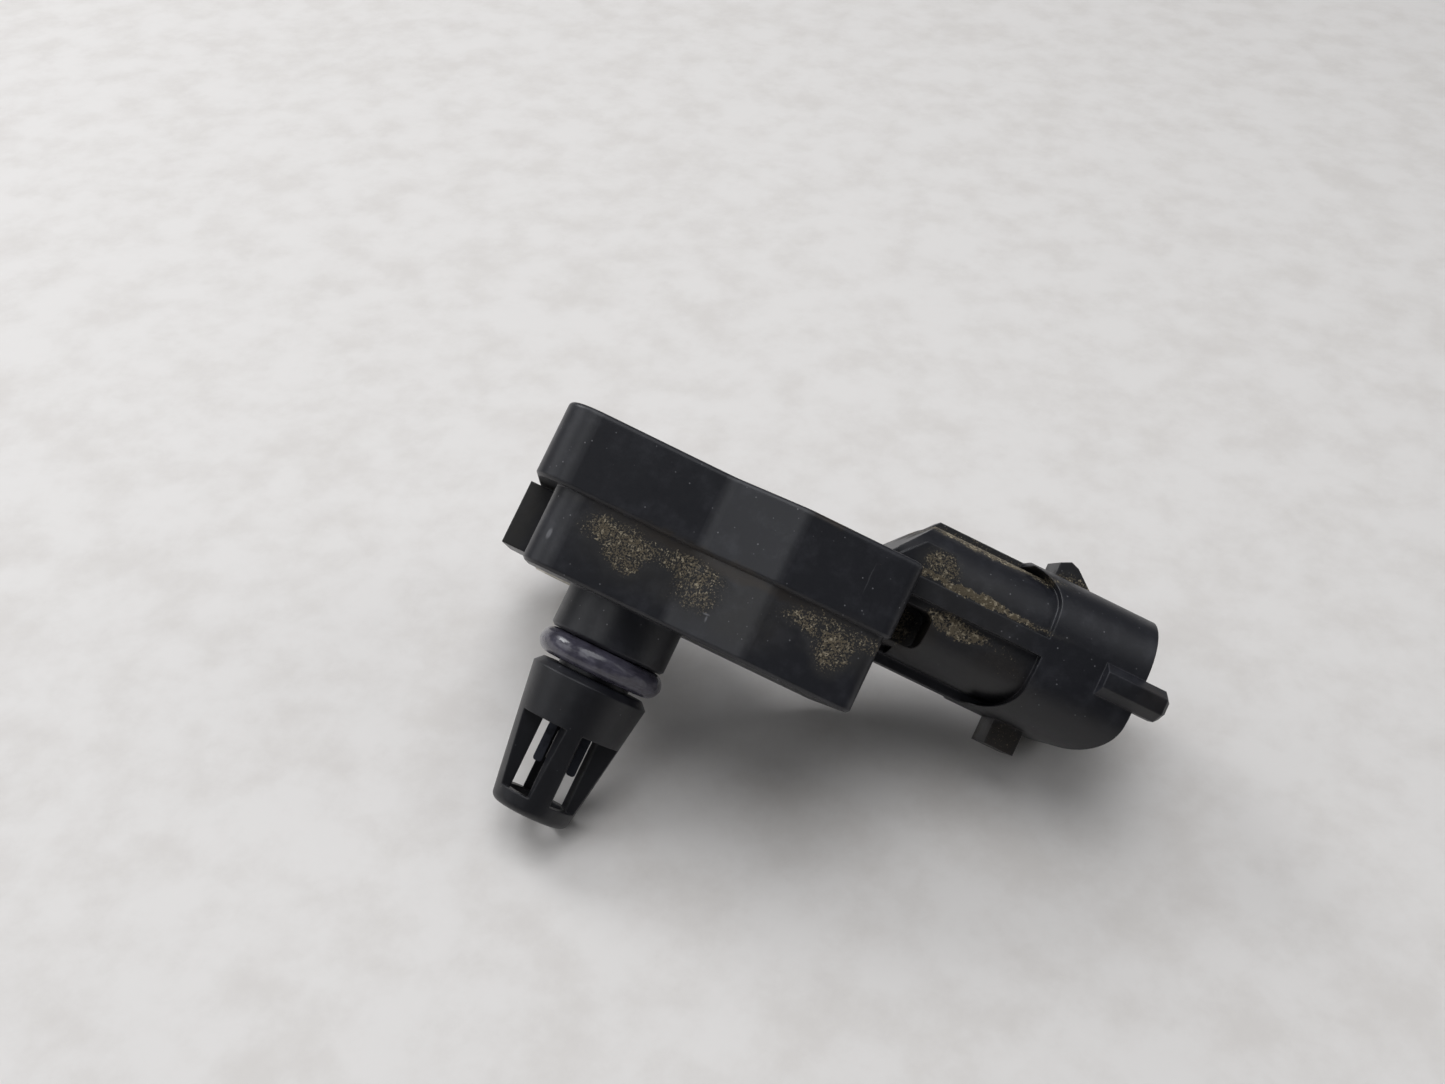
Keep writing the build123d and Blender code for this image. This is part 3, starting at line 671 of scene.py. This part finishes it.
def makeCamera(settings):
    yaw, pitch, roll = (math.radians(settings[key]) for key in ("yaw", "pitch", "roll"))
    ahead = Vector((math.sin(yaw) * math.cos(pitch), math.cos(yaw) * math.cos(pitch), math.sin(pitch)))
    level = Vector((math.cos(yaw), -math.sin(yaw), 0.0))
    above = level.cross(ahead)
    right = level * math.cos(roll) + above * math.sin(roll)
    up = above * math.cos(roll) - level * math.sin(roll)
    camera = bpy.data.objects.new("camera", bpy.data.cameras.new("camera"))
    camera.data.lens = settings["lens"]
    camera.data.sensor_width = settings["sensor"]
    camera.data.clip_start = 0.01
    camera.data.clip_end = 20.0
    turned = Matrix((right, up, -ahead)).transposed().to_4x4()
    camera.matrix_world = Matrix.Translation(Vector(settings["place"]) * mm) @ turned
    bpy.context.scene.collection.objects.link(camera)
    bpy.context.scene.camera = camera
    return right


pictureRight = makeCamera(cameraSettings)
print("camera placed")


# Floor: the pale sheet that the sensor leans on with its cage, its ear and its far guide lug
floorSettings = {
    "colour": (229, 226, 223),
    "mottle": (219, 215, 211),
    "mottled": (7.0, 5.0, 0.6, 0.35, 0.75),
    "roughness": 0.6,
    "half size": 1.2,  # metres
    "start": (-0.33, -0.7, 0.63),  # about where its upward direction points
    "passes": 12,
    "cage below": -15.0,  # where each of the three that it touches is looked for, in mm
    "ear past": 20.0,
    "lug past": 42.0,
}


def leaningPlane(points, settings):
    # in each region the point that is lowest along the normal is found, and the plane through the
    # three points gives the next normal, until both agree
    regions = (
        points[points[:, 2] < settings["cage below"] * mm],
        points[points[:, 1] > settings["ear past"] * mm],
        points[points[:, 0] > settings["lug past"] * mm],
    )
    normal = np.array(settings["start"])
    for _ in range(settings["passes"]):
        cage, ear, lug = (part[np.argmin(part @ normal)] for part in regions)
        normal = np.cross(lug - cage, ear - cage)
        normal = normal / np.linalg.norm(normal)
    return normal, cage @ normal


def makeFloor(settings):
    normal, height = leaningPlane(corners(nodes["housing"]), settings)
    across = np.array(pictureRight) - normal * (np.array(pictureRight) @ normal)
    across = across / np.linalg.norm(across)
    away = np.cross(normal, across)
    reach = settings["half size"]
    signs = ((-1, -1), (1, -1), (1, 1), (-1, 1))
    points = [normal * height + across * a * reach + away * b * reach for a, b in signs]
    sheet = bpy.data.meshes.new("floor")
    sheet.from_pydata([tuple(point) for point in points], [], [(0, 1, 2, 3)])
    floor = bpy.data.objects.new("floor", sheet)
    bpy.context.scene.collection.objects.link(floor)
    skin = Skin("sheet", Roughness=settings["roughness"])
    mottled = skin.blotches(*settings["mottled"])
    colour = skin.mix(mottled, rgb(*settings["colour"]), rgb(*settings["mottle"]))
    sheet.materials.append(skin.done(Base_Color=colour))
    # its back is clear, so that it hides nothing in a view from below
    behind = skin.node("ShaderNodeNewGeometry", out="Backfacing")
    clear = skin.node("ShaderNodeBsdfTransparent")
    pale = Signal(skin, skin.shader.outputs[0])
    shown = skin.node("ShaderNodeMixShader", {}, {0: behind, 1: pale, 2: clear})
    skin.tree.links.new(shown.socket, skin.tree.nodes["Material Output"].inputs["Surface"])
    return Vector(normal), Vector(across), Vector(away)


floorUp, floorRight, floorAway = makeFloor(floorSettings)
print("floor laid, its upward direction", [round(c, 3) for c in floorUp])


# Light: soft lamps in the floor's own directions, right, away and up, as the photograph's tones ask
lightSettings = {
    "far": 0.6,  # metres from the object's middle
    "colour": (0.97, 0.98, 1.0),
    "lamps": {  # direction, size in metres and watts
        "overhead": ((0.0, 0.0, 1.0), 0.5, 1.32),
        "behind": ((0.0, 0.6, 1.0), 0.5, 0.85),
        "behindLeft": ((-0.75, 0.75, 0.8), 0.24, 1.05),
        "left": ((-1.0, 0.0, 0.6), 0.4, 0.52),
        "right": ((1.0, 0.0, 0.6), 0.5, 0.5),
        "front": ((-0.45, -0.5, 0.75), 0.3, 0.34),
    },
    "room": {"colour": (0.95, 0.97, 1.0, 1.0), "strength": 0.085},
}


def makeLights(settings):
    centre = (cadLow + cadHigh) / 2
    for name, ((right, away, up), size, watts) in settings["lamps"].items():
        aim = (floorRight * right + floorAway * away + floorUp * up).normalized()
        light = bpy.data.lights.new(name, "AREA")
        light.shape = "DISK"
        light.size = size
        light.energy = watts
        light.color = settings["colour"]
        turned = aim.to_track_quat("Z", "Y").to_matrix().to_4x4()
        holder = bpy.data.objects.new(name, light)
        holder.matrix_world = Matrix.Translation(centre + aim * settings["far"]) @ turned
        bpy.context.scene.collection.objects.link(holder)
    world = bpy.data.worlds.new("room")
    world.use_nodes = True
    room = world.node_tree.nodes["Background"]
    room.inputs["Color"].default_value = settings["room"]["colour"]
    room.inputs["Strength"].default_value = settings["room"]["strength"]
    bpy.context.scene.world = world


makeLights(lightSettings)
bpy.context.scene.view_settings.view_transform = "Standard"
print("lit")
